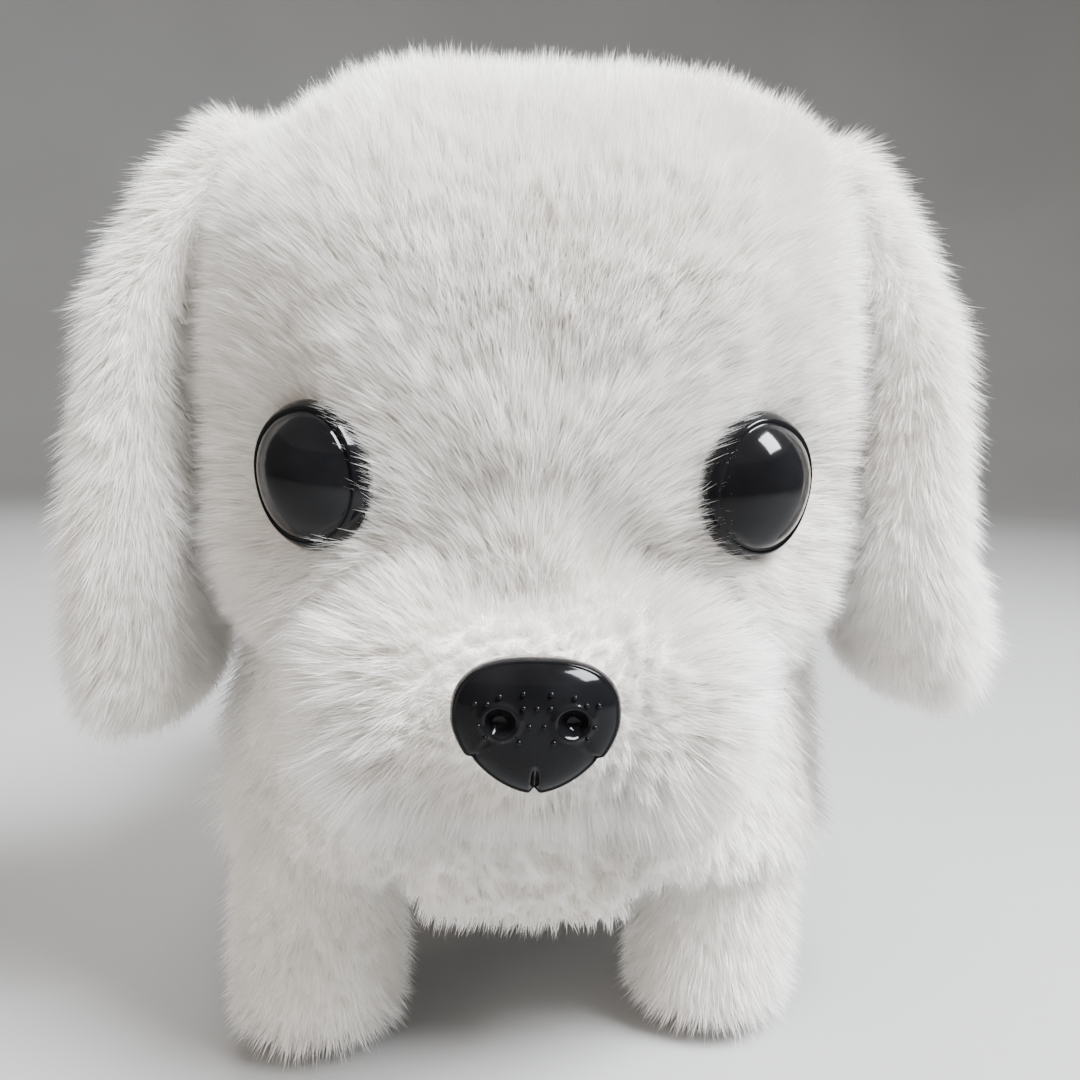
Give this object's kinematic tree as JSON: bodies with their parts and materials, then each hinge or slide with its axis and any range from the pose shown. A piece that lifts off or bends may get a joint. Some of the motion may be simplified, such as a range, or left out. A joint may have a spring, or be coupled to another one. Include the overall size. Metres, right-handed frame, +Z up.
{
  "type": "plush dog",
  "caption": "Long-haired white plush puppy with a big square head and hanging ears, standing on straight legs that a hidden crank swings, with a wagging tail.",
  "frame": {"origin": "on the floor, at the centre of the bounding box's base", "axes": "+Z up; the dog faces -Y and its own left is +X"},
  "size_m": [0.1458, 0.186, 0.1458],
  "materials": {
    "plush": "long white pile",
    "filling": "soft polyester filling",
    "eye_plastic": "polished",
    "nose_plastic": "polished",
    "shell_plastic": "moulded",
    "gear_plastic": "moulded",
    "steel": "bright",
    "board": "solder mask",
    "dark_plastic": "moulded",
    "cell_wrap": "printed wrap without marks",
    "washer_plastic": "moulded"
  },
  "bodies": {
    "chassis": {"chassis_lower": "shell_plastic", "chassis_upper": "shell_plastic", "housing_screws": "steel", "front_hip_axle": "steel", "rear_hip_axle": "steel", "motor": "steel", "crown_axle": "steel", "second_axle": "steel", "battery_cells": "cell_wrap", "battery_contacts": "steel", "battery_springs": "steel", "circuit_board": "board", "speaker": "dark_plastic", "switch_body": "dark_plastic", "body_padding": "filling", "body_cover": "plush", "head_frame": "shell_plastic", "head_stuffing": "filling", "head_cover": "plush", "left_eye": "eye_plastic", "right_eye": "eye_plastic", "eye_washers": "washer_plastic", "nose": "nose_plastic", "nose_washer": "washer_plastic", "tail_pin": "steel"},
    "motor_rotor": {"motor_shaft": "steel", "motor_pinion": "gear_plastic"},
    "crown": {"crown_gear": "gear_plastic"},
    "second": {"second_gear": "gear_plastic"},
    "crank": {"crank_shaft": "steel", "crank_gear": "gear_plastic", "left_crank_disc": "gear_plastic", "right_crank_disc": "gear_plastic"},
    "front_left_leg": {"front_left_leg_core": "shell_plastic", "front_left_leg_sleeve": "plush"},
    "front_right_leg": {"front_right_leg_core": "shell_plastic", "front_right_leg_sleeve": "plush"},
    "rear_left_leg": {"rear_left_leg_core": "shell_plastic", "rear_left_leg_sleeve": "plush"},
    "rear_right_leg": {"rear_right_leg_core": "shell_plastic", "rear_right_leg_sleeve": "plush"},
    "door": {"battery_door": "shell_plastic"},
    "door_screw": {"battery_door_screw": "steel"},
    "knob": {"switch_knob": "dark_plastic"},
    "left_ear_flap": {"left_ear": "plush"},
    "right_ear_flap": {"right_ear": "plush"},
    "tail": {"tail_lever": "shell_plastic", "tail_cover": "plush"}
  },
  "joints": [
    {"name": "crank_spin", "type": "hinge", "parent": "chassis", "child": "crank", "pos_m": [0, 0, 0.05], "axis": [1, 0, 0], "continuous": true},
    {"name": "second_spin", "type": "hinge", "parent": "chassis", "child": "second", "pos_m": [0.008, 0.008, 0.05695], "axis": [1, 0, 0], "continuous": true},
    {"name": "crown_spin", "type": "hinge", "parent": "chassis", "child": "crown", "pos_m": [0.005, 0.016, 0.06312], "axis": [1, 0, 0], "continuous": true},
    {"name": "motor_spin", "type": "hinge", "parent": "chassis", "child": "motor_rotor", "pos_m": [0, 0.024, 0.06312], "axis": [0, 1, 0], "continuous": true},
    {"name": "front_left_hip", "type": "hinge", "parent": "chassis", "child": "front_left_leg", "pos_m": [0.031, -0.049, 0.05], "axis": [1, 0, 0], "range_deg": [-14.5, 5.3]},
    {"name": "front_right_hip", "type": "hinge", "parent": "chassis", "child": "front_right_leg", "pos_m": [-0.031, -0.049, 0.05], "axis": [1, 0, 0], "range_deg": [-5.3, 14.5]},
    {"name": "rear_left_hip", "type": "hinge", "parent": "chassis", "child": "rear_left_leg", "pos_m": [0.031, 0.049, 0.05], "axis": [1, 0, 0], "range_deg": [-5.3, 14.5]},
    {"name": "rear_right_hip", "type": "hinge", "parent": "chassis", "child": "rear_right_leg", "pos_m": [-0.031, 0.049, 0.05], "axis": [1, 0, 0], "range_deg": [-14.5, 5.3]},
    {"name": "tail_wag", "type": "hinge", "parent": "chassis", "child": "tail", "pos_m": [0, 0.059, 0.08], "axis": [0, 0, 1], "range_deg": [-21.8, 8]},
    {"name": "left_ear_lift", "type": "hinge", "parent": "chassis", "child": "left_ear_flap", "pos_m": [0.056, -0.0435, 0.127], "axis": [0, -1, 0], "range_deg": [0, 80]},
    {"name": "right_ear_lift", "type": "hinge", "parent": "chassis", "child": "right_ear_flap", "pos_m": [-0.056, -0.0435, 0.127], "axis": [0, 1, 0], "range_deg": [0, 80]},
    {"name": "door_lift", "type": "slide", "parent": "chassis", "child": "door", "axis": [0, 0, -1], "range_m": [0, 0.015]},
    {"name": "door_screw_out", "type": "slide", "parent": "door", "child": "door_screw", "axis": [0, 0, -1], "range_m": [0, 0.009]},
    {"name": "switch_slide", "type": "slide", "parent": "chassis", "child": "knob", "axis": [1, 0, 0], "range_m": [0, 0.0035]}
  ],
  "couplings": [
    {"joint": "second_spin", "follows": "crank_spin", "ratio": -4.25},
    {"joint": "crown_spin", "follows": "crank_spin", "ratio": 17},
    {"joint": "motor_spin", "follows": "crank_spin", "ratio": -68},
    {"joint": "front_right_hip", "follows": "front_left_hip", "ratio": -1},
    {"joint": "rear_left_hip", "follows": "front_left_hip", "ratio": -1},
    {"joint": "rear_right_hip", "follows": "front_left_hip", "ratio": 1},
    {"joint": "tail_wag", "follows": "front_left_hip", "ratio": 1.5}
  ]
}
